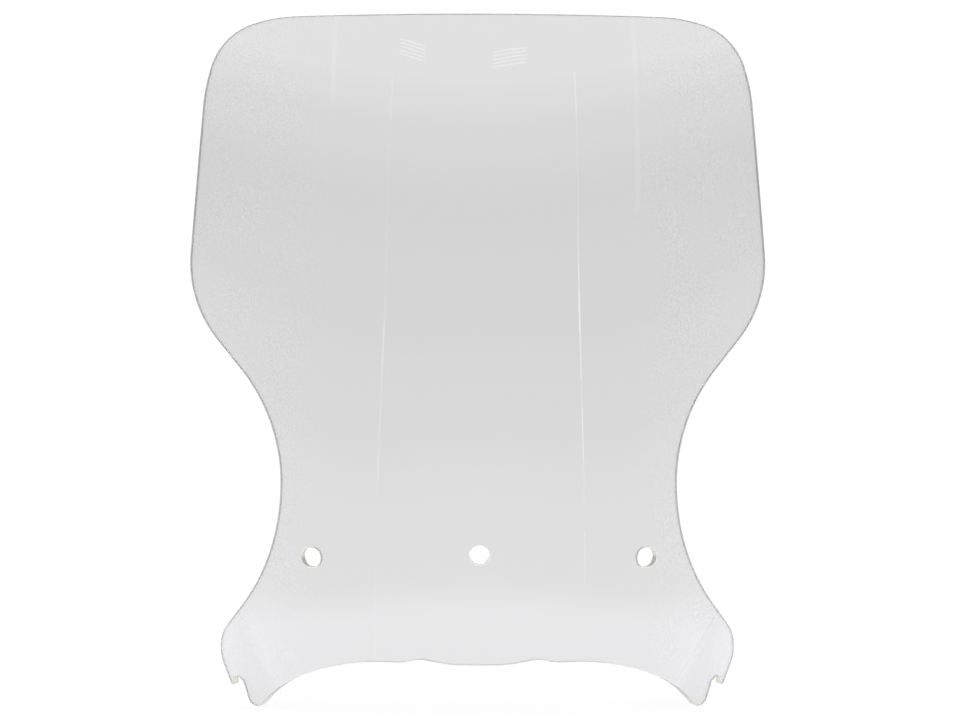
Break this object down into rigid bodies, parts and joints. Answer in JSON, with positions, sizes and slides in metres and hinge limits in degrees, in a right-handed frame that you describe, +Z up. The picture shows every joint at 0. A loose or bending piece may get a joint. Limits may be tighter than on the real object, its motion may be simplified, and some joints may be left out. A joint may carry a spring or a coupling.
{
  "type": "motorcycle windshield screen",
  "caption": "Clear curved motorcycle windshield screen, wide at the top and narrow at the waist, with screw holes in a row and two bent, notched lower tabs.",
  "frame": {"origin": "centre of the middle hole's mouth on the front face", "axes": "+Z up the screen, -Y out of the convex front face along the middle hole's axis, +X to the right seen from the front; the sheet is symmetric about X = 0"},
  "size_m": [0.3754, 0.1108, 0.4442],
  "materials": {
    "clear_sheet": "clear moulded polycarbonate with a faint grey cast, gloss on both faces, polished edges that look darker and slightly green"
  },
  "bodies": {
    "root": {"screen": "clear_sheet"}
  },
  "joints": []
}
